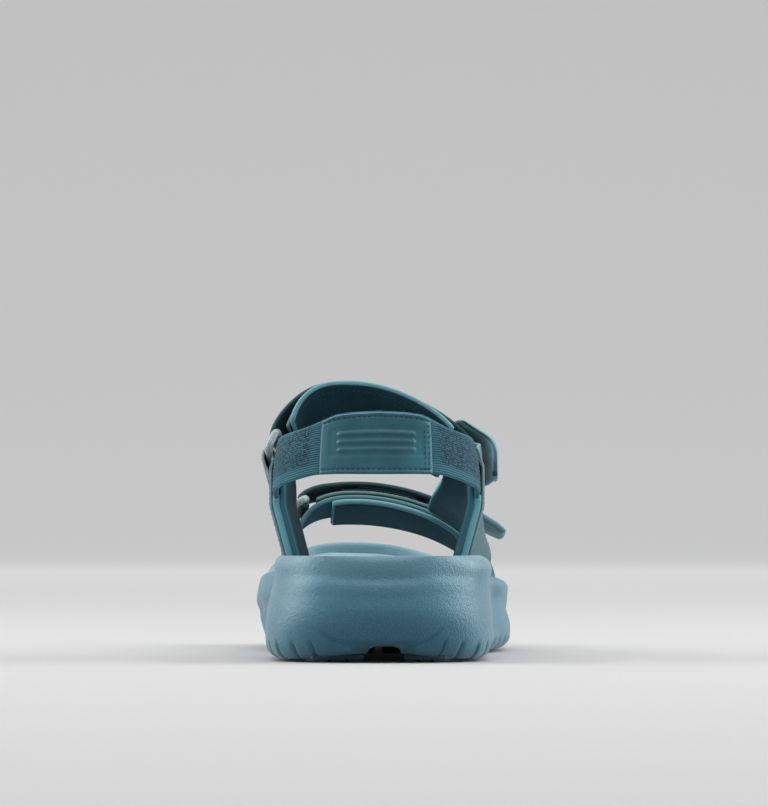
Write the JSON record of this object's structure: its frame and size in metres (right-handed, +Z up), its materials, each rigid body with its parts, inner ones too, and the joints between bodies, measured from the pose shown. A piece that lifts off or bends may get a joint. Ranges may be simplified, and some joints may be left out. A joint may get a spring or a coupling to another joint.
{
  "type": "strappy sport sandal",
  "caption": "Right-foot sport sandal with a thick moulded sole, an elastic heel strap and hook-and-loop instep and forefoot straps that peel open round rings.",
  "frame": {"origin": "on the ground, under the middle of the object's bounding box", "axes": "+Z up, +Y from the heel to the toe, +X to the outer side of the right foot"},
  "size_m": [0.105, 0.29, 0.1097],
  "materials": {
    "midsole": "matt moulded foam with a fine grain",
    "footbed": "matt moulded foam",
    "outsole": "matt rubber",
    "elastic_knit": "ribbed elastic webbing",
    "heel_patch": "smooth synthetic leather",
    "quarter": "woven side panel",
    "lining": "padded soft lining",
    "webbing": "woven webbing",
    "loop_pile": "soft loop pile",
    "hook_tape": "stiff hook tape",
    "pull_tab": "satin moulded tab",
    "ring": "moulded plastic ring",
    "keeper": "woven webbing"
  },
  "bodies": {
    "sole_and_upper": {"midsole": "midsole", "footbed": "footbed", "outsole_heel_medial": "outsole", "outsole_heel_lateral": "outsole", "outsole_forefoot_medial": "outsole", "outsole_forefoot_lateral": "outsole", "medial_quarter": "quarter", "medial_quarter_lining": "lining", "lateral_quarter": "quarter", "lateral_quarter_lining": "lining", "instep_liner": "lining", "instep_strap": "webbing", "instep_loop_pad": "loop_pile", "instep_keeper": "keeper", "forefoot_liner": "lining", "forefoot_under_strap": "lining", "forefoot_strap": "webbing", "forefoot_loop_pad": "loop_pile", "forefoot_keeper": "keeper"},
    "heel_strap": {"heel_strap": "elastic_knit", "heel_patch": "heel_patch"},
    "instep_ring": {"instep_ring": "ring"},
    "instep_flap": {"instep_flap": "webbing", "instep_hook_pad": "hook_tape", "instep_pull_tab": "pull_tab"},
    "forefoot_ring": {"forefoot_ring": "ring"},
    "forefoot_flap": {"forefoot_flap": "webbing", "forefoot_hook_pad": "hook_tape", "forefoot_pull_tab": "pull_tab"}
  },
  "joints": [
    {"name": "heel_strap_flex", "type": "hinge", "parent": "sole_and_upper", "child": "heel_strap", "pos_m": [-0.0021, -0.072, 0.073], "axis": [1, 0, 0], "range_deg": [-10, 20]},
    {"name": "instep_ring_tilt", "type": "hinge", "parent": "sole_and_upper", "child": "instep_ring", "pos_m": [-0.04398, -0.0426, 0.07406], "axis": [-0.1337, -0.8371, 0.5305], "range_deg": [0, 15]},
    {"name": "instep_flap_open", "type": "hinge", "parent": "instep_ring", "child": "instep_flap", "pos_m": [-0.04046, -0.03881, 0.08093], "axis": [-0.1337, -0.8371, 0.5305], "range_deg": [0, 120]},
    {"name": "forefoot_ring_tilt", "type": "hinge", "parent": "sole_and_upper", "child": "forefoot_ring", "pos_m": [-0.04009, 0.02845, 0.05552], "axis": [0.0455, -0.9806, 0.1906], "range_deg": [0, 15]},
    {"name": "forefoot_flap_open", "type": "hinge", "parent": "forefoot_ring", "child": "forefoot_flap", "pos_m": [-0.03301, 0.02969, 0.06024], "axis": [0.0455, -0.9806, 0.1906], "range_deg": [0, 75]}
  ]
}
